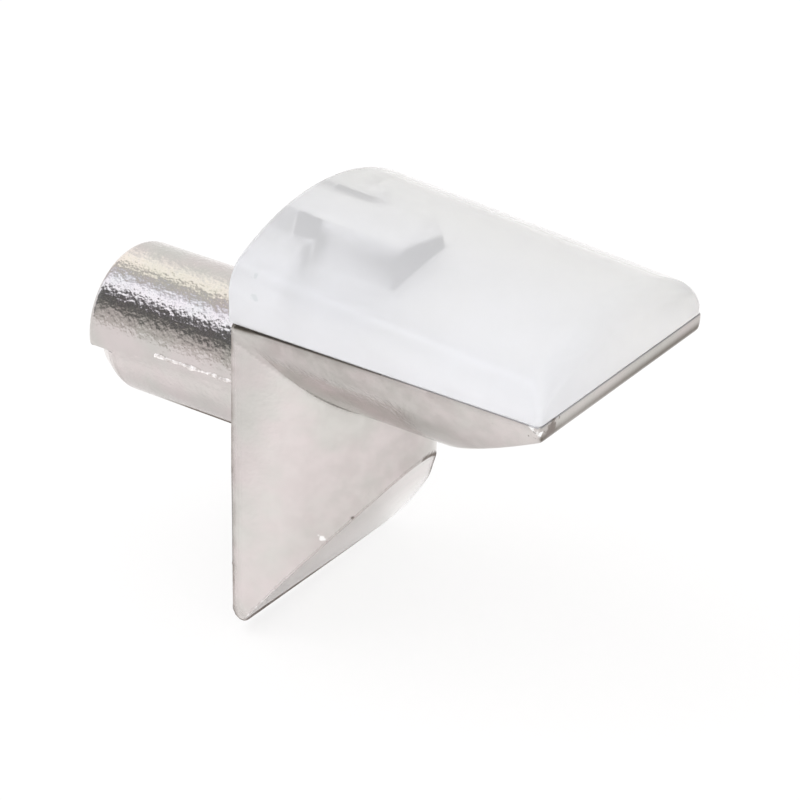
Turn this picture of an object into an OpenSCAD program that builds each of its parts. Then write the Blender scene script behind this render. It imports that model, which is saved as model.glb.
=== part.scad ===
// Shelf support pin: a die-cast seat, wall plate and gusset on a plug-in pin, with a clear
// pad on the seat. Millimetres: X points out of the cabinet side, Z up, and the origin is
// on the pin's axis in the plane of the cabinet side.

/* [Pin] */
// Diameter of the pin, to suit the hole in the cabinet side
pin_d = 5; // [4.6:0.1:5.6]
// How far the pin reaches into the cabinet side
pin_length = 7.8; // [6.5:0.1:11]

/* [Seat] */
// How far the seat stands out of the cabinet side
seat_reach = 11.6; // [10.6:0.1:15]
// Width of the seat, of its pad and of the wall plate
seat_width = 9.4; // [8.6:0.1:10]
// Height of the seat's flat top above the pin's axis
seat_top = 3.85; // [3.5:0.05:4.6]
// Depth of the half-round seat below its flat top
seat_depth = 3.8; // [3.4:0.05:4.4]
// Thickness of the seat at its front edge
front_lip = 0.55; // [0.4:0.05:0.9]
// Slope of the seat's underside up to its front edge, in degrees
front_slope = 29; // [26:1:34]

/* [Wall plate and gusset] */
// Height of the wall plate, from the seat's top down to its foot
plate_height = 11.5; // [10.4:0.1:14]
// Thickness of the wall plate
plate_t = 1.3; // [1.1:0.1:1.4]
// How far the gusset's nose stands out of the cabinet side
nose_reach = 4.3; // [4.2:0.1:5]
// Radius of the gusset's nose
nose_r = 2.5; // [1.8:0.1:2.8]
// Slope of the gusset's underside, in degrees
foot_slope = 53.5; // [50:0.5:57]

/* [Pad] */
// Height of the pad's crown above the seat, at the cabinet side
pad_height = 3.05; // [2.8:0.05:3.6]
// Height of the pad's upright sides there, up to the crown
pad_side = 1.65; // [1.5:0.05:1.9]
// How much lower the pad is at its front
pad_fall = 0.85; // [0.5:0.05:1]
// Width of the rib on the seat that keys the pad in place
rib_width = 2.3; // [2:0.1:3]
// Height of the rib above the seat's top
rib_height = 2; // [1.6:0.1:2.1]
// Length of the rib, from the cabinet side
rib_length = 4; // [2.6:0.1:4.4]

/* [Hidden] */
$fn = 96;
half_width = seat_width / 2;
far = 2 * (seat_reach + plate_height); // longer than any piece

// pin: below the seam its end is shorter, with a longer lead-in, than above it
pin_r = pin_d / 2;
seam_drop = 0.25; // from the pin's axis down to the seam
tip_r = 0.35; // rounding of the upper end
tip_step = 0.35; // how much shorter the lower end is
lead = 0.7; // length of the lower end's lead-in
lead_r = 0.4; // how far the lead-in narrows it

// seat
seat_land = 0.2; // height of the upright band along the seat's sides
round_depth = seat_depth - seat_land;
bar_r = (half_width * half_width + round_depth * round_depth) / (2 * round_depth);
corner_r = 0.5; // upright front corners

// wall plate and gusset
foot_r = 1.25; // lower corners of the wall plate
edge_r = 1.2; // where the wall plate turns into the gusset's flanks
foot = seat_top - plate_height;
nose_x = nose_reach - nose_r;
flank_angle = atan2(half_width, nose_x - plate_t)
    - asin(nose_r / norm([nose_x - plate_t, half_width]));

// crossbar at the root of the rib, and the pad that fits over both
crossbar_length = 0.8;
crossbar_width = 4.8;
crossbar_height = 0.85;
rib_gap = 0.05; // clearance between the rib and the pad
pad_edge_r = 0.5; // round the pad's front face
pad_edge_lift = 0.01; // so that the rounding crosses the crown, and doesn't only graze it
pad_flare = 8; // slope of the envelope that the rounding runs out into, above the crown
crown_rise = pad_height - pad_side;
crown_r = (half_width * half_width + crown_rise * crown_rise) / (2 * crown_rise);
crown_z = seat_top + pad_height - crown_r;
crown_tilt = atan(pad_fall / seat_reach);

function unit(v) = v / norm(v);

// What a rounding of radius r takes off the corner at tip, between edges towards a and b
module corner_waste(tip, a, b, r) {
    u = unit(a - tip);
    w = unit(b - tip);
    inward = unit(u + w);
    half = acos(u * w) / 2;
    centre = tip + inward * r / sin(half);
    difference() {
        polygon([tip - inward * r, tip + u * r / tan(half), centre, tip + w * r / tan(half)]);
        translate(centre) circle(r);
    }
}

module mirrored(direction) {
    children();
    mirror(direction) children();
}

// Runs a section drawn as (Y, Z) outwards along X, from the cabinet side
module along_x(length) {
    rotate([90, 0, 90]) linear_extrude(length) children();
}

// Runs a side view drawn as (X, Z) right across the part
module across() {
    rotate([90, 0, 0]) linear_extrude(far, center = true) children();
}

module pin() {
    root = pin_length - tip_step - lead;
    end = pin_length - root;
    rotate([0, -90, 0]) {
        cylinder(r = pin_r, h = root);
        translate([0, 0, root]) {
            difference() {
                cylinder(r1 = pin_r, r2 = pin_r - lead_r, h = lead);
                above_seam();
            }
            intersection() {
                rotate_extrude() {
                    square([pin_r, end - tip_r]);
                    square([pin_r - tip_r, end]);
                    translate([pin_r - tip_r, end - tip_r]) circle(tip_r);
                }
                above_seam();
            }
        }
    }
}

// Everything above the seam, while the pin still stands on its end
module above_seam() {
    translate([-seam_drop, -pin_d, -1]) cube([2 * pin_d, 2 * pin_d, far]);
}

// Flat-topped half-round bar, cut away on the slope below to leave a thin front edge
module seat() {
    lip = [seat_reach, seat_top - front_lip];
    deep = 2 * seat_depth;
    corner = [seat_reach, half_width];
    difference() {
        intersection() {
            across() polygon([[0, seat_top], [seat_reach, seat_top], lip,
                lip - deep * [1 / tan(front_slope), 1], [0, lip.y - deep]]);
            along_x(seat_reach) intersection() {
                translate([0, seat_top - seat_depth + bar_r]) circle(bar_r);
                square([seat_width, far], center = true);
            }
        }
        mirrored([0, 1, 0]) linear_extrude(far, center = true)
            corner_waste(corner, corner - [1, 0], corner - [0, 1], corner_r);
    }
}

// Plan of the wall plate and of the gusset's flanks, which run tangent into its nose
module gusset_plan() {
    edge = [plate_t, half_width];
    near_edge = [plate_t, -half_width];
    apex = [nose_x + nose_r / sin(flank_angle), 0];
    difference() {
        polygon([[0, half_width], edge, apex, near_edge, [0, -half_width]]);
        corner_waste(apex, edge, near_edge, nose_r);
        mirrored([0, 1]) corner_waste(edge, edge - [1, 0], apex, edge_r);
    }
}

module wall_plate_and_gusset() {
    corner = [half_width, foot];
    intersection() {
        linear_extrude(far, center = true) gusset_plan();
        across() polygon([[0, foot], [plate_height / tan(foot_slope), seat_top], [0, seat_top]]);
        along_x(seat_reach) difference() {
            translate([-half_width, foot]) square([seat_width, plate_height]);
            mirrored([1, 0]) corner_waste(corner, corner - [1, 0], corner + [0, 1], foot_r);
        }
    }
}

// Rib and crossbar, grown by a gap and run on behind the cabinet side and below the seat's top
module rib_block(gap, behind, below) {
    translate([-behind, -rib_width / 2 - gap, seat_top - below])
        cube([behind + rib_length + gap, rib_width + 2 * gap, below + rib_height + gap]);
    translate([-behind, -crossbar_width / 2 - gap, seat_top - below])
        cube([behind + crossbar_length + gap, crossbar_width + 2 * gap,
            below + crossbar_height + gap]);
}

module support_casting() {
    color([0.78, 0.76, 0.73]) {
        pin();
        seat();
        wall_plate_and_gusset();
        rib_block(0, 0, seat_land);
    }
}

// The pad's section, drawn about the centre of its crown
module pad_arch() {
    intersection() {
        circle(crown_r);
        translate([-half_width, 0]) square([seat_width, crown_r]);
    }
}

// Rounds the pad's front end over, all along its arch
module pad_front() {
    back = seat_reach + pad_height;
    centre_r = (crown_r - pad_edge_r) / cos(crown_tilt) + pad_edge_r * tan(crown_tilt);
    tip = [centre_r + pad_edge_lift + pad_edge_r * (1 - sin(pad_flare)) / cos(pad_flare),
        seat_reach];
    outwards = [tan(pad_flare), -1];
    translate([0, 0, crown_z - pad_fall]) rotate([0, 90, 0]) rotate_extrude() difference() {
        polygon([[0, seat_reach], tip, tip + back * outwards, [0, seat_reach - back]]);
        corner_waste(tip, tip - [1, 0], tip + outwards, pad_edge_r);
    }
}

module pad_body() {
    corner = [seat_reach, -half_width];
    intersection() {
        translate([0, 0, crown_z]) rotate([0, crown_tilt, 0])
            translate([-crown_r, 0, 0]) along_x(far) pad_arch();
        pad_front();
        translate([0, 0, seat_top]) linear_extrude(far) difference() {
            translate([0, -half_width]) square([seat_reach, seat_width]);
            mirrored([0, 1]) corner_waste(corner, corner - [1, 0], corner + [0, 1], pad_edge_r);
        }
    }
}

module cushion_pad() {
    color([0.9, 0.9, 0.92]) difference() {
        pad_body();
        rib_block(rib_gap, far, far);
    }
}

support_casting();
cushion_pad();
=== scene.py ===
import math

import bpy
import numpy as np
from mathutils import Matrix, Vector


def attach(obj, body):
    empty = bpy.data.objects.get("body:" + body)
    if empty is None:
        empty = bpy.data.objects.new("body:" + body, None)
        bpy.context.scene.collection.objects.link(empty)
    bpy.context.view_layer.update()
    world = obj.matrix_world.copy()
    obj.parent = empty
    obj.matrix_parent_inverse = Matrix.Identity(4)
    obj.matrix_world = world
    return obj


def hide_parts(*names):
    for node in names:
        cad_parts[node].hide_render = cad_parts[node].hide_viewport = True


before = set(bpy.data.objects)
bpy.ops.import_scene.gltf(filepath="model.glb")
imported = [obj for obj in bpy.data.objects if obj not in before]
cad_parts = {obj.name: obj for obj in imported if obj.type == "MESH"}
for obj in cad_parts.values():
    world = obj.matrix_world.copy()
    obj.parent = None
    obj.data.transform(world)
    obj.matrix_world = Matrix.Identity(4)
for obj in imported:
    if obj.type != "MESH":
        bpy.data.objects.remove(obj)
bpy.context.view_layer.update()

scene = bpy.context.scene
mm = 0.001


def node(tree, kind, **settings):
    made = tree.nodes.new(kind)
    for name, value in settings.items():
        setattr(made, name, value)
    return made


def calculate(tree, operation, first, second, clamp=False):  # each side is a number or a socket
    made = node(tree, "ShaderNodeMath", operation=operation, use_clamp=clamp)
    for place, value in enumerate((first, second)):
        if isinstance(value, (int, float)):
            made.inputs[place].default_value = value
        else:
            tree.links.new(value, made.inputs[place])
    return made.outputs[0]


def ramp(tree, value, low, high):  # 0 below low, 1 above high, smooth between them
    made = node(tree, "ShaderNodeMapRange", interpolation_type="SMOOTHSTEP")
    made.inputs["From Min"].default_value = low
    made.inputs["From Max"].default_value = high
    tree.links.new(value, made.inputs["Value"])
    return made.outputs["Result"]


def blend(tree, share, first, second):  # colours, each a tuple or a socket
    made = node(tree, "ShaderNodeMix", data_type="RGBA")
    for name, value in (("Factor", share), ("A", first), ("B", second)):
        socket = next(s for s in made.inputs if s.name == name and s.enabled)
        if isinstance(value, (int, float)):
            socket.default_value = value
        elif isinstance(value, tuple):
            socket.default_value = (*value, 1)
        else:
            tree.links.new(value, socket)
    return next(s for s in made.outputs if s.enabled)


# camera: a long lens, a little above the seat
cameraValues = {
    "place": (53.374, -72.417, 47.808),  # mm
    "right": (0.81813554, 0.57484064, 0.01457619),
    "up": (-0.28448063, 0.38259441, 0.87902917),
    "back": (0.49972493, -0.72331166, 0.47654511),
    "lens": 139.464,
    "sensor": 36.0,
}


def setCamera(v):
    data = bpy.data.cameras.new("studioCamera")
    data.lens = v["lens"]
    data.sensor_width = v["sensor"]
    data.clip_start = 0.002
    data.clip_end = 20
    camera = bpy.data.objects.new("studioCamera", data)
    scene.collection.objects.link(camera)
    turn = Matrix((v["right"], v["up"], v["back"])).transposed().to_4x4()
    camera.matrix_world = Matrix.Translation(Vector(v["place"]) * mm) @ turn
    scene.camera = camera
    print("camera set")


setCamera(cameraValues)


# rounded joins between two distance fields, in millimetres
def roundBoth(a, b, radius):  # where both solids are, with a rounded edge
    out = np.hypot(np.maximum(a + radius, 0), np.maximum(b + radius, 0))
    return np.minimum(np.maximum(a, b), -radius) + out


def roundEither(a, b, radius):  # where either solid is, with a filleted corner
    out = np.hypot(np.maximum(radius - a, 0), np.maximum(radius - b, 0))
    return np.maximum(np.minimum(a, b), radius) - out


def roundBlunt(a, b, cosine, radius):  # roundBoth for faces whose normals are closer together
    p, q = a + radius, b + radius
    within = (p > cosine * q) & (q > cosine * p)
    out = np.sqrt(np.maximum(p * p + q * q - 2 * p * q * cosine, 0) / (1 - cosine ** 2))
    return np.where(within, out - radius, np.maximum(a, b))


castingValues = {
    "pinRadius": 2.5,
    "pinEnd": 7.8,
    "tipRound": 0.35,
    "seamDrop": 0.25,  # the lower half of the pin is shorter and tapers
    "lowerEnd": 7.45,
    "lead": 0.7,
    "leadDepth": 0.4,
    "seatReach": 11.6,
    "halfWidth": 4.7,
    "seatTop": 3.85,
    "seatDepth": 3.8,
    "seatLand": 0.2,
    "frontLip": 0.55,
    "frontSlope": 29.0,
    "plateFoot": -7.65,
    "plateThickness": 1.3,
    "plateDraft": 0.1,  # how much narrower each side of the plate is at its top
    "noseX": 1.8,
    "noseRadius": 2.5,
    "footSlope": 53.5,
    "footRound": 1.25,
    "flankRound": 1.2,
    "edgeRound": 0.12,  # front slope to front edge
    "backRound": ((2.8, 0.05), (3.85, 0.38)),  # by height
    "footEdge": 0.05,
    "leadRound": 0.1,
    "rimRound": ((0, 0.3), (1.5, 0.17), (4, 0.09), (11.6, 0.04)),  # along the seat's top edge
    "landRound": 1.0,  # where the underside turns up into the seat's sides
    "bellyRound": ((0, 0.4), (3.5, 0.3), (4.6, 0.15)),  # by distance from the middle
    "gussetFillet": 0.12,
    "pinFillet": 0.15,
    "key": (4.0, 1.15, 5.85),  # how far out it runs, half its width, its top
    "bar": (0.8, 2.4, 4.70),  # the same for the cross bar at its root
    "keyLean": 0.12,  # draft of both, for each millimetre up
    "keyRound": 0.12,  # upright edges of both
    "keyTopRound": 0.1,
    "keyFillet": 0.03,
    "keySink": 0.5,  # how far both reach down into the seat
    "step": 0.087,
}


def along(where, row):  # a row pairs places with the values there
    return np.interp(where, *zip(*row))


def bellyOf(v):  # radius of the seat's half-round underside, and the height of its centre
    rise = v["seatDepth"] - v["seatLand"]
    radius = (v["halfWidth"] ** 2 + rise ** 2) / (2 * rise)
    return radius, v["seatTop"] - v["seatDepth"] + radius


def keyBlocks(x, y, z, gap, v):  # the rib and its cross bar, grown by a gap, without an underside
    lean = v["keyLean"] * (z - (v["seatTop"] + v["key"][2]) / 2)
    for size in (v["key"], v["bar"]):
        far, wide, head = (length + gap for length in size)
        upright = roundBoth(x - far + lean, np.abs(y) - wide + lean, v["keyRound"])
        yield roundBoth(upright, z - head, v["keyTopRound"])


def castingField(x, y, z, v=castingValues):
    side = np.abs(y)
    half, top, edge = v["halfWidth"], v["seatTop"], v["edgeRound"]
    rim, back = along(x, v["rimRound"]), along(z, v["backRound"])
    # seat
    bellyRadius, centre = bellyOf(v)
    away = np.maximum(np.hypot(y, z - centre), 1e-6)
    belly = away - bellyRadius
    slope = math.radians(v["frontSlope"])
    front = (x - v["seatReach"]) * math.sin(slope) - (z - top + v["frontLip"]) * math.cos(slope)
    belly = roundBlunt(belly, side - half, np.minimum(side / away, 0.99), v["landRound"])
    front = roundBoth(front, x - v["seatReach"], edge)
    cosine = math.cos(slope) * np.clip((centre - z) / away, 0, 1)
    seat = roundBlunt(belly, front, cosine, along(side, v["bellyRound"]))
    seat = roundBoth(roundBoth(seat, -x, back), z - top, rim)
    # wall plate and gusset
    noseX, noseR = v["noseX"], v["noseRadius"]
    reach = math.hypot(noseX - v["plateThickness"], half)
    flank = math.atan2(half, noseX - v["plateThickness"]) - math.asin(noseR / reach)
    alongX, alongY = x - noseX, side
    past = alongX * math.cos(flank) - alongY * math.sin(flank)
    off = alongX * math.sin(flank) + alongY * math.cos(flank) - noseR
    nose = np.where(past > 0, np.hypot(alongX, alongY) - noseR, off)
    draft = v["plateDraft"] * np.clip((z - v["plateFoot"]) / (top - v["plateFoot"]), 0, 1)
    edgeOn = side - half + draft
    gusset = roundBoth(edgeOn, nose, v["flankRound"])
    footSlope = math.radians(v["footSlope"])
    below = x * math.sin(footSlope) - (z - v["plateFoot"]) * math.cos(footSlope)
    foot = roundBoth(edgeOn, v["plateFoot"] - z, v["footRound"])
    gusset = roundBoth(gusset, foot, v["footEdge"])
    gusset = roundBoth(roundBoth(gusset, below, v["footEdge"]), -x, back)
    gusset = roundBoth(gusset, z - top, rim)
    # pin
    barrel = np.hypot(y, z) - v["pinRadius"]
    upper = roundBoth(barrel, -v["pinEnd"] - x, v["tipRound"])
    cone = barrel + v["leadDepth"] / v["lead"] * (v["lead"] - v["lowerEnd"] - x)
    lower = roundBoth(roundBoth(barrel, cone, v["leadRound"]), -v["lowerEnd"] - x, v["leadRound"])
    pin = np.minimum(np.maximum(upper, -v["seamDrop"] - z), lower)
    pin = np.maximum(pin, x - 1)  # it ends inside the gusset
    body = roundEither(seat, gusset, v["gussetFillet"])
    body = roundEither(body, pin, v["pinFillet"])
    body = np.maximum(body, z - top)
    # rib and cross bar that key the pad
    for block in keyBlocks(x, y, z, 0, v):
        block = roundBoth(block, -x, v["keyTopRound"])
        block = np.maximum(block, top - v["keySink"] - z)
        body = roundEither(body, block, v["keyFillet"])
    return body


def netOf(field, low, high, step, slab=16):  # closed quads on a field's zero surface
    axes = [np.arange(a, b + step, step) for a, b in zip(low, high)]
    shape = [len(a) for a in axes]
    values = np.empty(shape, np.float32)
    for begin in range(0, shape[0], slab):
        x, y, z = np.meshgrid(axes[0][begin:begin + slab], axes[1], axes[2], indexing="ij")
        values[begin:begin + slab] = field(x, y, z)
    inside = values < 0
    cells = [n - 1 for n in shape]
    total = np.zeros(cells + [3], np.float32)
    count = np.zeros(cells, np.float32)
    crossed = []
    for axis in range(3):
        first = [slice(None)] * 3
        second = [slice(None)] * 3
        first[axis], second[axis] = slice(0, -1), slice(1, None)
        a, b = values[tuple(first)], values[tuple(second)]
        hit = inside[tuple(first)] != inside[tuple(second)]
        place = np.argwhere(hit)
        share = a[hit] / (a[hit] - b[hit])
        point = place.astype(np.float32)
        point[:, axis] += share
        others = [n for n in range(3) if n != axis]
        for da in (0, 1):
            for db in (0, 1):
                cell = place.copy()
                cell[:, others[0]] -= da
                cell[:, others[1]] -= db
                cell = tuple(cell.T)
                np.add.at(total, cell, point)
                np.add.at(count, cell, 1)
        crossed.append((place, inside[tuple(first)][hit], others))
    used = count > 0
    number = np.full(cells, -1)
    number[used] = np.arange(int(used.sum()))
    points = total[used] / count[used][:, None] * step + np.array(low)
    faces = []
    for axis, (place, leaving, others) in enumerate(crossed):
        corners = []
        for da, db in ((0, 0), (1, 0), (1, 1), (0, 1)):
            cell = place.copy()
            cell[:, others[0]] -= da
            cell[:, others[1]] -= db
            corners.append(number[tuple(cell.T)])
        quad = np.stack(corners, 1)
        turn = leaving if axis != 1 else ~leaving
        faces.append(np.where(turn[:, None], quad, quad[:, ::-1]))
    return points, np.concatenate(faces)


def slopeOf(field, points, reach=0.004):
    grad = np.empty_like(points)
    for axis in range(3):
        shift = np.zeros(3)
        shift[axis] = reach
        ahead, behind = points + shift, points - shift
        grad[:, axis] = (field(*ahead.T) - field(*behind.T)) / (2 * reach)
    return grad


def bendOf(field, points, reach=0.05):  # above 0 on edges, below 0 in corners, in 1/mm
    around = np.zeros(len(points))
    for axis in range(3):
        shift = np.zeros(3)
        shift[axis] = reach
        around += field(*(points + shift).T) + field(*(points - shift).T)
    return (around - 6 * field(*points.T)) / reach ** 2


def meshFrom(name, field, low, high, step, masks=None):
    points, quads = netOf(field, low, high, step)
    for _ in range(4):
        grad = slopeOf(field, points)
        size = np.maximum((grad * grad).sum(1), 0.2)
        move = -(field(*points.T) / size)[:, None] * grad
        points += np.clip(move, -step / 2, step / 2)
    normals = slopeOf(field, points)
    normals /= np.linalg.norm(normals, axis=1)[:, None]
    mesh = bpy.data.meshes.new(name)
    mesh.vertices.add(len(points))
    mesh.vertices.foreach_set("co", (points * mm).astype(np.float32).ravel())
    mesh.loops.add(quads.size)
    mesh.loops.foreach_set("vertex_index", quads.astype(np.int32).ravel())
    mesh.polygons.add(len(quads))
    mesh.polygons.foreach_set("loop_start", np.arange(0, quads.size, 4, dtype=np.int32))
    mesh.update(calc_edges=True)
    mesh.validate()
    mesh.polygons.foreach_set("use_smooth", np.ones(len(mesh.polygons), bool))
    mesh.normals_split_custom_set_from_vertices(normals)
    for title, values in (masks(points, normals) if masks else {}).items():
        mask = mesh.attributes.new(title, "FLOAT", "POINT")
        mask.data.foreach_set("value", values.astype(np.float32))
    piece = bpy.data.objects.new(name, mesh)
    scene.collection.objects.link(piece)
    print(name, len(points), "points", len(quads), "quads")
    return piece


def fade(value, start, end):  # 0 up to start, 1 past end
    return np.clip((value - start) / (end - start), 0, 1)


shadeValues = {  # a row pairs places, in millimetres, with how strong a painted shade or painted highlight is there
    "keySide": ((1.1, 1.2), (1.5, 0.5), (1.9, 0.45), (3, 0.75), (4, 1.1)),  # along the rib
    "keySideUp": ((0.1, 0.45), (0.9, 1)),  # by height above the seat
    "keyEndTop": ((-1.15, 5.9), (1.15, 4.7)),  # across its end, the height that shade reaches
    "keyFade": (1.9, 1.1),  # above the seat, where shade on its sides stops
    "keyRoot": 1.3,
    "barFace": ((1.5, 0.9), (1.9, 0)),  # from the middle outwards
    "streak": ((1.3, 0.9), (2.2, 0)),  # along the far side of the rib's top
    "shelterReach": 1.3,
    "bellyGain": 1.2,  # how much more painted shade the seat's underside gets than the gusset
    "bellyAlong": ((0, 0.25), (2, 0.42), (4, 0.43), (7, 0.38), (9, 0.25), (11, 0.14)),
    "bellyUp": ((1, 0.7), (3.6, 1.3)),
    "flank": ((1.3, 0), (2.6, 0.17), (4, 0.28)),
    "slope": ((1.5, 0), (4, 0.3)),
    "slopeBright": ((0.5, 0.8), (2.8, 0)),
    "toeHeight": ((-3.4, 0.7), (3.4, 0.25)),  # across the foot, how far up its dark line goes
    "toe": 1.3,
    "slopeEdge": 0.6,
    "pinUnder": ((-5.5, 0), (-3.5, 2), (-0.1, 2), (0, 0)),
    "back": 1.1,
    "foot": 2.0,
    "rimAlong": ((0, 1), (2, 0.9), (6, 0.7), (11.2, 0.5), (11.4, 0)),
    "lipDown": ((0.2, 0.35), (0.4, 0.9)),  # by depth below the seat's top
    "lipAcross": ((-4.2, 1.15), (-3.4, 0.8), (2, 1.1)),
    "bend": (1, 7),  # curvature of edges, in 1/mm, from plain to fully dark
    "bendPower": 1.2,
}


def keyShades(points, normals, v, shades):  # painted shade on the walls and along the far side of the top, and a painted highlight on the crest, all seen through the pad
    x, y, z = points.T
    ahead, sideways, upward = normals.T
    top, half, barTop = v["seatTop"], v["key"][1], v["bar"][2]
    near = along(x, shades["keySide"]) * along(z - top, shades["keySideUp"])
    near = near * np.where(x < v["bar"][0] + 0.15, fade(z, barTop, barTop + 0.3), 1)
    end = np.clip((along(y, shades["keyEndTop"]) - z) / 0.3, 0, 1.4)
    end = np.where(x > 2, end, along(np.abs(y), shades["barFace"]))
    wall = np.clip(ahead, 0, 1) * end + np.abs(sideways) * near
    wall = wall * fade(z - top, *shades["keyFade"])
    root = (x < 1) & (y < 0) & (z > barTop + 0.05)
    wall = np.maximum(wall, root * np.clip(shades["keyRoot"] * np.abs(sideways), 0, 1))
    head = (upward > 0.5) & (z > top + 1.5)
    streak = head * fade(y, half - 0.7, half - 0.4) * along(x, shades["streak"])
    crest = head * fade(y, 0.35 - half, 0.2 - half) * (x > 0.6)
    return wall, streak, crest


def shelterShades(points, normals, v, shades):  # painted shade under the seat, in the shelter of the gusset
    x, y, z = points.T
    ahead, _, upward = normals.T
    reach = shades["shelterReach"]
    shelter = 1 - castingField(*(points + reach * normals).T) / reach
    shelter = np.clip(shelter, 0, 1) * fade(upward, 0, -1 / 3) * (x > 0.1)
    bellyRadius, centre = bellyOf(v)
    belly = (np.hypot(y, z - centre) < bellyRadius + 0.06) & (z > 0)
    belly = belly & (x > 0.1) & (ahead < 0.3) & (upward < 0.1)
    gloom = along(x, shades["bellyAlong"]) * along(z, shades["bellyUp"])
    shelter = np.maximum(shelter * (1 + shades["bellyGain"] * belly), belly * gloom)
    flank = (ahead > 0.5) & (upward > -0.2) & (x > 1.2) & (x < 5) & (z < 3.5)
    return np.maximum(np.clip(shelter, 0, 1), flank * along(x, shades["flank"]))


def rimShades(points, normals, v, shades):  # painted shade: the dark line under the pad, and the dark lower part of the front lip
    x, y, z = points.T
    top, front = v["seatTop"], v["seatReach"]
    rim = fade(normals[:, 2], 0.08, 0.33) * (z > top - along(x, v["rimRound"]))
    rim = rim * along(x, shades["rimAlong"])
    lip = fade(x, front - 0.1, front - 0.02) * along(top - z, shades["lipDown"])
    return np.maximum(rim, lip * along(y, shades["lipAcross"])) * (z < top)


def castingMasks(points, normals, v=castingValues, shades=shadeValues):
    x, y, z = points.T
    ahead, _, upward = normals.T
    top, footHeight = v["seatTop"], v["plateFoot"]
    covered = z > top - 0.01  # under the pad, where the material paints the metal lighter as painted light
    wall, streak, crest = keyShades(points, normals, v, shades)
    shelter = shelterShades(points, normals, v, shades)
    # the gusset's underside: painted shade, a painted highlight near the wall, and a painted dark
    # line along its foot and its far edge
    slope = (ahead > 0.6) & (upward < -0.4) & (x < 5)
    toe = footHeight + along(y, shades["toeHeight"])
    toe = fade(toe - z, 0, 0.15)
    shelter = np.maximum(shelter, slope * along(x, shades["slope"]))
    crest = np.maximum(crest, slope * (1 - toe) * along(x, shades["slopeBright"]))
    farEdge = fade(castingField(x, y + 0.3, z), 0, 0.15)
    slope = slope * np.maximum(shades["toe"] * toe, shades["slopeEdge"] * farEdge)
    # painted shade: dark lines along the pin's underside, the plate's back and its foot
    under = fade(0.9 * y - z, 0, 0.2) * fade(y, -0.4, -0.7) * along(x, shades["pinUnder"])
    back = shades["back"] * fade(x, 0.16, 0.1) * (x > 0.003) * (ahead < 0.3) * (z < top)
    foot = (z < footHeight + 1.65) & (y < 0) & (ahead < 0.4)
    foot = shades["foot"] * foot * fade(upward, -0.58, -0.68)
    # painted shade along every edge, strongest on the far side of the gusset
    edgeDarkening = fade(bendOf(castingField, points), *shades["bend"]) ** shades["bendPower"]
    edgeDarkening = edgeDarkening * np.where((y > 0) & (z < 2), 1.3, 0.3) * np.where((x > 1) & (z > 0), 0.1, 1)
    return {
        "edge": np.maximum.reduce((edgeDarkening, under, back, foot, slope)),
        "shelter": shelter,
        "covered": covered * 1.0,
        "riser": np.clip(covered * wall + streak, 0, 1),
        "crest": crest,
        "rim": np.clip(rimShades(points, normals, v, shades), 0, 1),
    }


casting = meshFrom("nickelCasting", castingField, (-8.1, -5, -8), (11.9, 5, 6.15),
                   castingValues["step"], castingMasks)
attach(casting, "root")
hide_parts("support_casting")


# shader groups that more than one material uses
def newGroup(name, inputs, outputs):
    tree = bpy.data.node_groups.new(name, "ShaderNodeTree")
    for title, value in inputs.items():
        kind = "NodeSocketVector" if value is None else "NodeSocketFloat"
        socket = tree.interface.new_socket(title, in_out="INPUT", socket_type=kind)
        if value is not None:
            socket.default_value = value
    for title in outputs:
        tree.interface.new_socket(title, in_out="OUTPUT", socket_type="NodeSocketFloat")
    return tree, node(tree, "NodeGroupInput"), node(tree, "NodeGroupOutput")


def noiseIn(tree, vector, scale, detail, roughness=0.5):
    made = node(tree, "ShaderNodeTexNoise")
    made.inputs["Detail"].default_value = detail
    made.inputs["Roughness"].default_value = roughness
    tree.links.new(vector, made.inputs["Vector"])
    if isinstance(scale, (int, float)):
        made.inputs["Scale"].default_value = scale
    else:
        tree.links.new(scale, made.inputs["Scale"])
    return made.outputs["Fac"]


def grainGroup():  # fine and coarse unevenness of a moulded or plated skin
    tree, given, made = newGroup(
        "skinGrain", {"Vector": None, "Scale": 5000.0, "Coarse": 0.5}, ["Height"])
    fine = noiseIn(tree, given.outputs["Vector"], given.outputs["Scale"], 1.6)
    third = calculate(tree, "MULTIPLY", given.outputs["Scale"], 0.3)
    coarse = noiseIn(tree, given.outputs["Vector"], third, 1)
    share = calculate(tree, "MULTIPLY", coarse, given.outputs["Coarse"])
    tree.links.new(calculate(tree, "ADD", fine, share), made.inputs["Height"])
    return tree


def patchGroup():  # faint broad patches, from 0 to 1
    tree, given, made = newGroup("faintPatches", {"Vector": None, "Scale": 300.0}, ["Mask"])
    broad = noiseIn(tree, given.outputs["Vector"], given.outputs["Scale"], 4, 0.6)
    tree.links.new(ramp(tree, broad, 0.35, 0.65), made.inputs["Mask"])
    return tree


def spotGroup():  # one small ragged spot
    tree, given, made = newGroup(
        "smallSpot", {"Vector": None, "Place": None, "Radius": 0.0001}, ["Mask"])
    gap = node(tree, "ShaderNodeVectorMath", operation="DISTANCE")
    tree.links.new(given.outputs["Vector"], gap.inputs[0])
    tree.links.new(given.outputs["Place"], gap.inputs[1])
    ragged = noiseIn(tree, given.outputs["Vector"], 7000.0, 2)
    ragged = calculate(tree, "ADD", calculate(tree, "MULTIPLY", ragged, 3.0), -0.5)
    away = calculate(tree, "DIVIDE", gap.outputs["Value"], given.outputs["Radius"])
    away = calculate(tree, "MULTIPLY", away, ragged)
    tree.links.new(ramp(tree, away, 1.2, 0.5), made.inputs["Mask"])
    return tree


skinGrain, faintPatches, smallSpot = grainGroup(), patchGroup(), spotGroup()
print("shader groups made")


def useGroup(tree, group, vector, **values):
    made = node(tree, "ShaderNodeGroup", node_tree=group)
    tree.links.new(vector, made.inputs["Vector"])
    for name, value in values.items():
        made.inputs[name].default_value = value
    return made.outputs[0]


def maskOf(tree, name):
    return node(tree, "ShaderNodeAttribute", attribute_name=name).outputs["Fac"]


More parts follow.
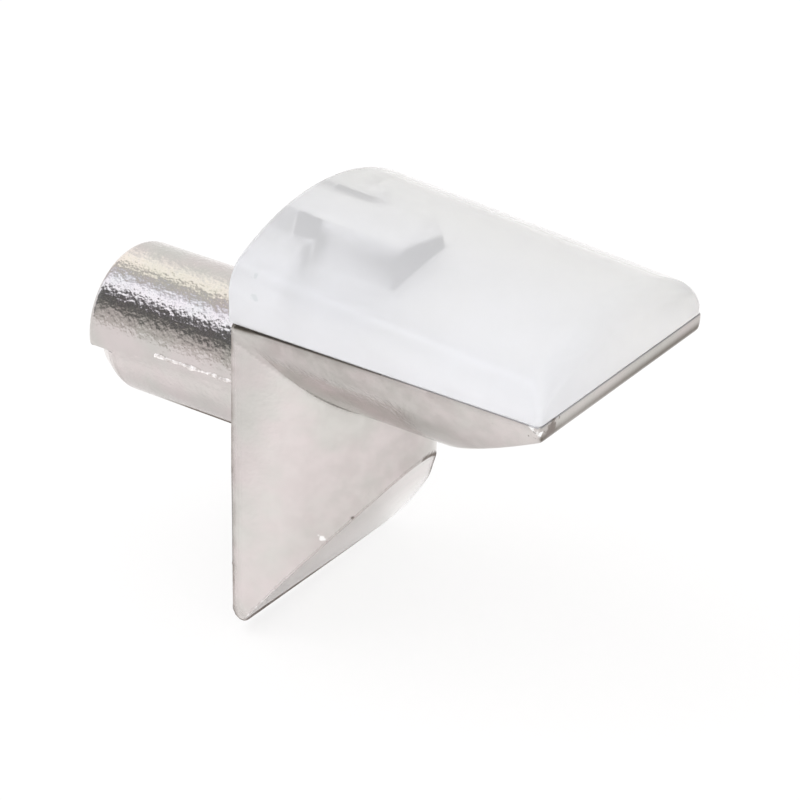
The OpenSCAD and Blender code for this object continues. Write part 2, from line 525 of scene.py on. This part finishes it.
nickelValues = {
    "plain": (0.715, 0.66, 0.655),
    "patch": (0.665, 0.655, 0.63),
    # painted light: the metal under the pad lighter and the crests white; painted shade on the
    # rib's walls and along the rim
    "covered": (0.95, 0.95, 0.97),
    "crest": (1.0, 1.0, 1.0),
    "riser": (0.07, 0.06, 0.09),
    "rim": (0.13, 0.115, 0.095),
    # darker tone for random mottling and a notch, and the colour of painted shade on edges, in
    # the gusset's shelter and at the front corner
    "tarnishAndShade": (0.19, 0.165, 0.15),
    "mottle": 0.05,
    "edgeShadeAmount": 0.85,
    "shelterShadeAmount": 0.85,
    "patchScale": 420.0,
    "mottleScale": 1500.0,
    "evenness": 0.7,  # of the painted shade on edges and in the gusset's shelter: 1 has no mottling
    "roughness": 0.18,
    "coveredRoughness": 0.45,  # more, under the pad
    "grainScale": 6200.0,
    "grainCoarse": 0.7,
    "pinBump": 2.3e-5,
    "bodyBump": 0.8e-5,
    "pale": (0.98, 0.98, 0.98),
    # the first pale spot is a speck on the gusset; the other two are painted highlights on the
    # seat's front corner
    "paleSpots": (((2.53, -3.13, -3.88), 0.1), ((11.3, -4.7, 3.83), 0.12),
                  ((11.56, -4.62, 3.65), 0.09)),
    # the first dark spot is a notch on the gusset; the second is painted shade on the seat's
    # front corner
    "darkSpots": (((3.14, -2.32, -3.29), 0.08), ((11.6, -4.1, 3.55), 0.32)),
}


def nickelMaterial(v):
    material = bpy.data.materials.new("satinNickel")
    material.use_nodes = True
    tree = material.node_tree
    link = tree.links.new
    shader = tree.nodes["Principled BSDF"]
    # edges with painted shade also lose some metallic shine, so they read darker
    shadedEdge = calculate(tree, "MULTIPLY", maskOf(tree, "edge"), v["edgeShadeAmount"], clamp=True)
    link(calculate(tree, "SUBTRACT", 1, shadedEdge), shader.inputs["Metallic"])
    shader.inputs["Specular IOR Level"].default_value = 0
    hidden = calculate(tree, "MULTIPLY", maskOf(tree, "covered"), v["coveredRoughness"])
    link(calculate(tree, "ADD", hidden, v["roughness"]), shader.inputs["Roughness"])
    place = node(tree, "ShaderNodeTexCoord").outputs["Object"]
    split = node(tree, "ShaderNodeSeparateXYZ")
    link(place, split.inputs[0])
    patches = useGroup(tree, faintPatches, place, Scale=v["patchScale"])
    colour = blend(tree, patches, v["plain"], v["patch"])
    mottlePatches = useGroup(tree, faintPatches, place, Scale=v["mottleScale"])
    colour = blend(tree, calculate(tree, "MULTIPLY", mottlePatches, v["mottle"]), colour, v["tarnishAndShade"])
    mottlePatches = calculate(tree, "MULTIPLY", mottlePatches, 1 - v["evenness"])
    mottlePatches = calculate(tree, "ADD", mottlePatches, v["evenness"])
    # painted shade on edges and in the gusset's shelter, broken up by the mottle patches
    for name, amount in (("edge", v["edgeShadeAmount"]), ("shelter", v["shelterShadeAmount"])):
        share = calculate(tree, "MULTIPLY", maskOf(tree, name), mottlePatches)
        share = calculate(tree, "MULTIPLY", share, amount)
        colour = blend(tree, share, colour, v["tarnishAndShade"])
    # painted light and shade: the metal under the pad lighter, the rib's walls and the rim
    # darker, the crests white
    for name in ("covered", "riser", "crest", "rim"):
        colour = blend(tree, maskOf(tree, name), colour, v[name])
    for spots, tint in ((v["paleSpots"], v["pale"]), (v["darkSpots"], v["tarnishAndShade"])):
        for at, radius in spots:
            spot = useGroup(tree, smallSpot, place, Place=[n * mm for n in at],
                            Radius=radius * mm)
            colour = blend(tree, spot, colour, tint)
    link(colour, shader.inputs["Base Color"])
    grain = useGroup(tree, skinGrain, place, Scale=v["grainScale"], Coarse=v["grainCoarse"])
    share = v["bodyBump"] / v["pinBump"]
    strength = ramp(tree, split.outputs["X"], 0.0003, -0.0003)  # metres either side of the plate
    strength = calculate(tree, "MULTIPLY", strength, 1 - share)
    strength = calculate(tree, "ADD", strength, share)
    bump = node(tree, "ShaderNodeBump")
    bump.inputs["Distance"].default_value = v["pinBump"]
    link(strength, bump.inputs["Strength"])
    link(grain, bump.inputs["Height"])
    link(bump.outputs["Normal"], shader.inputs["Normal"])
    return material


satinNickel = nickelMaterial(nickelValues)
casting.data.materials.append(satinNickel)


# ragged seam left by the die, along each side of the pin
seamValues = {
    "from": -4.8,
    "to": 0.1,
    "height": 0.24,
    "radius": 0.085,
    "sunk": 0.2,  # share of the radius that its middle lies under the pin's skin
    "waver": 0.09,
    "points": 180,
    # painted glint: the bead is pale and only partly metallic, so it reads bright whatever it
    # mirrors
    "bright": (0.95, 0.92, 0.91),
    "dull": (0.5, 0.46, 0.44),
    "noiseScale": 2600.0,
    "widths": (0.35, 1.3),  # thinnest and thickest, as shares of the radius
    "ringSteps": 10,
    "patchScale": 3600.0,
    "metallic": 0.35,
    "roughness": 0.35,
}


def seamTree():
    tree = bpy.data.node_groups.new("dieSeam", "GeometryNodeTree")
    sockets = {}
    tree.interface.new_socket("Geometry", in_out="OUTPUT", socket_type="NodeSocketGeometry")
    for name, kind in (("Start", "Vector"), ("End", "Vector"), ("Radius", "Float"),
                       ("Waver", "Float"), ("Points", "Int"), ("Noise Scale", "Float"),
                       ("Thinnest", "Float"), ("Thickest", "Float"), ("Ring Steps", "Int"),
                       ("Metal", "Material")):
        made = tree.interface.new_socket(name, in_out="INPUT", socket_type="NodeSocket" + kind)
        sockets[name] = made.identifier
    link = tree.links.new
    given, result = node(tree, "NodeGroupInput"), node(tree, "NodeGroupOutput")
    line = node(tree, "GeometryNodeCurvePrimitiveLine")
    link(given.outputs["Start"], line.inputs["Start"])
    link(given.outputs["End"], line.inputs["End"])
    steps = node(tree, "GeometryNodeResampleCurve")
    link(line.outputs[0], steps.inputs["Curve"])
    link(given.outputs["Points"], steps.inputs["Count"])
    noise = node(tree, "ShaderNodeTexNoise")
    link(given.outputs["Noise Scale"], noise.inputs["Scale"])
    noise.inputs["Detail"].default_value = 3
    centred = node(tree, "ShaderNodeVectorMath", operation="SUBTRACT")
    centred.inputs[1].default_value = (0.5, 0.5, 0.5)
    link(noise.outputs["Color"], centred.inputs[0])
    waver = node(tree, "ShaderNodeVectorMath", operation="SCALE")
    link(centred.outputs[0], waver.inputs[0])
    link(given.outputs["Waver"], waver.inputs["Scale"])
    shifted = node(tree, "GeometryNodeSetPosition")
    link(steps.outputs[0], shifted.inputs["Geometry"])
    link(waver.outputs[0], shifted.inputs["Offset"])
    width = node(tree, "ShaderNodeMapRange")
    width.inputs["From Min"].default_value = 0.3
    width.inputs["From Max"].default_value = 0.7
    link(given.outputs["Thinnest"], width.inputs["To Min"])
    link(given.outputs["Thickest"], width.inputs["To Max"])
    link(noise.outputs["Fac"], width.inputs["Value"])
    ring = node(tree, "GeometryNodeCurvePrimitiveCircle")
    link(given.outputs["Ring Steps"], ring.inputs["Resolution"])
    link(given.outputs["Radius"], ring.inputs["Radius"])
    bead = node(tree, "GeometryNodeCurveToMesh")
    link(shifted.outputs[0], bead.inputs["Curve"])
    link(ring.outputs["Curve"], bead.inputs["Profile Curve"])
    link(width.outputs["Result"], bead.inputs["Scale"])
    bead.inputs["Fill Caps"].default_value = True
    real = node(tree, "GeometryNodeRealizeInstances")
    link(bead.outputs[0], real.inputs[0])
    painted = node(tree, "GeometryNodeSetMaterial")
    link(real.outputs[0], painted.inputs["Geometry"])
    link(given.outputs["Metal"], painted.inputs["Material"])
    link(painted.outputs[0], result.inputs[0])
    return tree, sockets


def makeSeam(name, side, tree, sockets, v):
    inner = math.sqrt(castingValues["pinRadius"] ** 2 - v["height"] ** 2)
    inner -= v["radius"] * v["sunk"]
    holder = bpy.data.objects.new(name + "Tree", bpy.data.meshes.new(name + "Tree"))
    scene.collection.objects.link(holder)
    modifier = holder.modifiers.new("seam", "NODES")
    modifier.node_group = tree
    for title, value in (("Start", (v["from"] * mm, side * inner * mm, v["height"] * mm)),
                         ("End", (v["to"] * mm, side * inner * mm, v["height"] * mm)),
                         ("Radius", v["radius"] * mm), ("Waver", v["waver"] * mm),
                         ("Points", v["points"]), ("Noise Scale", v["noiseScale"]),
                         ("Thinnest", v["widths"][0]), ("Thickest", v["widths"][1]),
                         ("Ring Steps", v["ringSteps"]), ("Metal", seamGlintMetal)):
        modifier[sockets[title]] = value
    view = bpy.context.evaluated_depsgraph_get()
    mesh = bpy.data.meshes.new_from_object(holder.evaluated_get(view))
    bpy.data.objects.remove(holder)
    mesh.polygons.foreach_set("use_smooth", np.ones(len(mesh.polygons), bool))
    piece = bpy.data.objects.new(name, mesh)
    scene.collection.objects.link(piece)
    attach(piece, "root")
    print(name, len(mesh.polygons), "faces")


def seamMaterial(v):
    material = bpy.data.materials.new("seamGlintMetal")
    material.use_nodes = True
    tree = material.node_tree
    shader = tree.nodes["Principled BSDF"]
    shader.inputs["Metallic"].default_value = v["metallic"]
    shader.inputs["Roughness"].default_value = v["roughness"]
    place = node(tree, "ShaderNodeTexCoord").outputs["Object"]
    patches = useGroup(tree, faintPatches, place, Scale=v["patchScale"])
    tree.links.new(blend(tree, patches, v["dull"], v["bright"]), shader.inputs["Base Color"])
    return material


seamGlintMetal = seamMaterial(seamValues)
dieSeam, seamSockets = seamTree()
makeSeam("nearSeam", -1, dieSeam, seamSockets, seamValues)
makeSeam("farSeam", 1, dieSeam, seamSockets, seamValues)


padValues = {
    "reach": 11.6,
    "halfWidth": 4.7,
    "seatTop": 3.85,
    "gap": -0.02,  # the pad beds into the seat, with no film of air that would mirror
    "height": 3.05,
    "side": 1.65,
    "fall": 0.85,
    "shoulder": 0.6,
    "frontRound": ((4.2, 0.25), (5.4, 0.75)),  # by height
    "edgeRound": 0.05,
    "backRound": 0.12,
    "clearance": -0.03,  # and so does its slot, around the rib
    "slotRound": 0.06,
    "step": 0.085,
}


def padField(x, y, z, v=padValues):
    side = np.abs(y)
    half, base = v["halfWidth"], v["seatTop"] + v["gap"]
    rise = v["height"] - v["side"]
    radius = (half * half + rise * rise) / (2 * rise)
    lift = z - (v["seatTop"] + v["height"] - radius)
    tilt = math.atan(v["fall"] / v["reach"])
    crown = np.hypot(y, x * math.sin(tilt) + lift * math.cos(tilt)) - radius
    shell = roundBoth(crown, side - half, v["shoulder"])
    shell = roundBoth(shell, x - v["reach"], along(z, v["frontRound"]))
    shell = roundBoth(shell, -x, v["backRound"])
    shell = roundBoth(shell, base - z, v["edgeRound"])
    slot = np.minimum(*keyBlocks(x, y, z, v["clearance"], castingValues))
    return roundBoth(shell, -slot, v["slotRound"])


pad = meshFrom("clearPad", padField, (-0.3, -5, 1.4), (11.9, 5, 7.2), padValues["step"])
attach(pad, "root")
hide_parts("cushion_pad")


softValues = {
    # painted light: a cooler white on the near side and a warmer one on the far side
    "near": (0.97, 0.975, 1.0),
    "far": (1.0, 0.995, 0.975),
    "cloudy": (0.93, 0.93, 0.94),
    "mark": (0.84, 0.87, 0.88),
    "marks": (((0.89, -4.37, 5.59), 0.1), ((1.07, -4.67, 4.97), 0.11)),
    "tintAcross": (-0.004, 0.003),  # metres across, from the near tint to the far one
    "cloudScale": 260.0,
    "cloudShare": 0.5,
    "clearness": 0.56,
    "roughness": 0.14,
    "index": 1.46,
    "grainScale": 1800.0,
    "bump": 2e-6,
}


def padMaterial(v):
    material = bpy.data.materials.new("softClear")
    material.use_nodes = True
    tree = material.node_tree
    link = tree.links.new
    shader = tree.nodes["Principled BSDF"]
    shader.inputs["Transmission Weight"].default_value = v["clearness"]
    shader.inputs["Roughness"].default_value = v["roughness"]
    shader.inputs["IOR"].default_value = v["index"]
    place = node(tree, "ShaderNodeTexCoord").outputs["Object"]
    split = node(tree, "ShaderNodeSeparateXYZ")
    link(place, split.inputs[0])
    across = ramp(tree, split.outputs["Y"], *v["tintAcross"])
    colour = blend(tree, across, v["near"], v["far"])
    clouds = useGroup(tree, faintPatches, place, Scale=v["cloudScale"])
    clouds = calculate(tree, "MULTIPLY", clouds, v["cloudShare"])
    colour = blend(tree, clouds, colour, v["cloudy"])
    for at, radius in v["marks"]:
        spot = useGroup(tree, smallSpot, place, Place=[n * mm for n in at], Radius=radius * mm)
        colour = blend(tree, spot, colour, v["mark"])
    link(colour, shader.inputs["Base Color"])
    bump = node(tree, "ShaderNodeBump")
    bump.inputs["Distance"].default_value = v["bump"]
    grain = useGroup(tree, skinGrain, place, Scale=v["grainScale"], Coarse=1.0)
    link(grain, bump.inputs["Height"])
    link(bump.outputs["Normal"], shader.inputs["Normal"])
    return material


pad.data.materials.append(padMaterial(softValues))


def rayKinds(tree):  # straight from the camera, and by way of the object
    path = node(tree, "ShaderNodeLightPath")
    shone = calculate(tree, "MAXIMUM", path.outputs["Is Glossy Ray"],
                      path.outputs["Is Transmission Ray"])
    return path.outputs["Is Camera Ray"], shone


def patchFacing(tree, towards, facing, spread):
    turned = node(tree, "ShaderNodeVectorMath", operation="DOT_PRODUCT")
    turned.inputs[1].default_value = Vector(facing).normalized()
    tree.links.new(towards, turned.inputs[0])
    return ramp(tree, turned.outputs["Value"], *spread)


floorValues = {
    "size": 3.0,
    "height": -7.66,
    "tint": (0.95, 0.935, 0.925),
    "roughness": 0.9,
    "glowToCamera": 0.75,  # share of plain white mixed in, which leaves a soft shadow
    "dim": (0.1, 0.08, 0.08),
    "shadeAt": (-8.0, -1.0, -7.66),  # where metal mirrors the floor as darker
    "shadeReach": 11.0,
    "shadeShare": 0.27,
    "farFacing": (-0.57, -0.82, 0.0),
    "farReach": (0.006, 0.02),  # metres along that way
    "farShare": 0.22,
}


def makeFloor(v):
    size, z = v["size"], v["height"] * mm
    mesh = bpy.data.meshes.new("floor")
    mesh.from_pydata([(-size, -size, z), (size, -size, z), (size, size, z), (-size, size, z)],
                     [], [(0, 1, 2, 3)])
    floor = bpy.data.objects.new("floor", mesh)
    scene.collection.objects.link(floor)
    material = bpy.data.materials.new("paleFloor")
    material.use_nodes = True
    tree = material.node_tree
    link = tree.links.new
    shader = tree.nodes["Principled BSDF"]
    shader.inputs["Base Color"].default_value = (*v["tint"], 1)
    shader.inputs["Roughness"].default_value = v["roughness"]
    shader.inputs["Specular IOR Level"].default_value = 0
    place = node(tree, "ShaderNodeTexCoord").outputs["Object"]
    seen, shone = rayKinds(tree)
    gap = node(tree, "ShaderNodeVectorMath", operation="DISTANCE")
    gap.inputs[1].default_value = Vector(v["shadeAt"]) * mm
    link(place, gap.inputs[0])
    shade = ramp(tree, gap.outputs["Value"], v["shadeReach"] * mm, 0)
    shade = calculate(tree, "MULTIPLY", shade, v["shadeShare"])
    far = patchFacing(tree, place, v["farFacing"], v["farReach"])
    shade = calculate(tree, "MAXIMUM", shade, calculate(tree, "MULTIPLY", far, v["farShare"]))
    shade = calculate(tree, "MULTIPLY", shade, shone)
    glow = node(tree, "ShaderNodeEmission")
    link(blend(tree, seen, v["dim"], (1.0, 1.0, 1.0)), glow.inputs["Color"])
    mix = node(tree, "ShaderNodeMixShader")
    share = calculate(tree, "MULTIPLY", seen, v["glowToCamera"])
    link(calculate(tree, "ADD", share, shade), mix.inputs[0])
    link(shader.outputs[0], mix.inputs[1])
    link(glow.outputs[0], mix.inputs[2])
    link(mix.outputs[0], tree.nodes["Material Output"].inputs["Surface"])
    mesh.materials.append(material)
    print("floor made")


makeFloor(floorValues)


studioValues = {
    "ambient": 1.0,
    "sweepFrom": (-0.57, -0.82, 0.0),
    # what shiny pieces mirror: 1 is the side that sweepFrom faces, 0 is overhead
    "sweep": ((-1.0, (0.95, 0.95, 0.95)), (-0.2, (0.9, 0.89, 0.87)), (-0.08, (1.15, 1.12, 1.07)),
              (0.05, (1.4, 1.35, 1.25)), (0.15, (1.3, 1.25, 1.12)), (0.23, (0.66, 0.65, 0.6)),
              (0.4, (0.62, 0.6, 0.6)), (0.5, (0.88, 0.9, 1.0)), (0.6, (1.45, 1.48, 1.6)),
              (0.675, (1.5, 1.52, 1.6)), (0.72, (0.45, 0.46, 0.5)), (0.765, (0.12, 0.11, 0.12)),
              (0.84, (0.11, 0.11, 0.11)), (0.92, (0.16, 0.16, 0.15)), (0.96, (0.5, 0.48, 0.46)),
              (1.0, (0.72, 0.7, 0.67))),
    "sweepTop": 1.6,
    "key": {"facing": (-0.5, -0.24, 0.83), "away": 0.3, "size": 0.25, "power": 0.17,
            "colour": (0.96, 0.97, 1.0)},
    "fill": {"facing": (0.42, -0.85, 0.22), "away": 0.5, "size": 0.3, "power": 1.13,
             "colour": (0.98, 0.98, 1.0)},
}


def makeWorld(v):
    world = bpy.data.worlds.new("studio")
    scene.world = world
    world.use_nodes = True
    tree = world.node_tree
    link = tree.links.new
    ambient = tree.nodes["Background"]
    ambient.inputs["Color"].default_value = (1, 1, 1, 1)
    ambient.inputs["Strength"].default_value = v["ambient"]
    towards = node(tree, "ShaderNodeTexCoord").outputs["Generated"]
    turned = node(tree, "ShaderNodeVectorMath", operation="DOT_PRODUCT")
    turned.inputs[1].default_value = Vector(v["sweepFrom"]).normalized()
    link(towards, turned.inputs[0])
    place = calculate(tree, "ADD", calculate(tree, "MULTIPLY", turned.outputs["Value"], 0.5), 0.5)
    sweep = node(tree, "ShaderNodeValToRGB")
    stops = sweep.color_ramp.elements
    for number, (at, colour) in enumerate(v["sweep"]):
        stop = stops[number] if number < 2 else stops.new(1)
        stop.position = (at + 1) / 2
        stop.color = (*(part / v["sweepTop"] for part in colour), 1)
    link(place, sweep.inputs["Fac"])
    mirrored = node(tree, "ShaderNodeBackground")
    mirrored.inputs["Strength"].default_value = v["sweepTop"]
    link(sweep.outputs["Color"], mirrored.inputs["Color"])
    white = node(tree, "ShaderNodeBackground")
    white.inputs["Color"].default_value = (1, 1, 1, 1)
    seen, shone = rayKinds(tree)
    room = ambient.outputs[0]
    for share, backdrop in ((shone, mirrored), (seen, white)):
        mix = node(tree, "ShaderNodeMixShader")
        link(share, mix.inputs[0])
        link(room, mix.inputs[1])
        link(backdrop.outputs[0], mix.inputs[2])
        room = mix.outputs[0]
    link(room, tree.nodes["World Output"].inputs["Surface"])
    print("surroundings made")


makeWorld(studioValues)


def areaLight(name, v):
    data = bpy.data.lights.new(name, "AREA")
    data.shape = "DISK"
    data.size = v["size"]
    data.energy = v["power"]
    data.color = v["colour"]
    light = bpy.data.objects.new(name, data)
    scene.collection.objects.link(light)
    light.location = Vector(v["facing"]).normalized() * v["away"]
    light.rotation_euler = (-light.location).to_track_quat("-Z", "Y").to_euler()
    light.visible_glossy = False
    light.visible_transmission = False
    print(name, "lamp set")


for lamp in ("key", "fill"):
    areaLight(lamp, studioValues[lamp])

scene.view_settings.view_transform = "Standard"
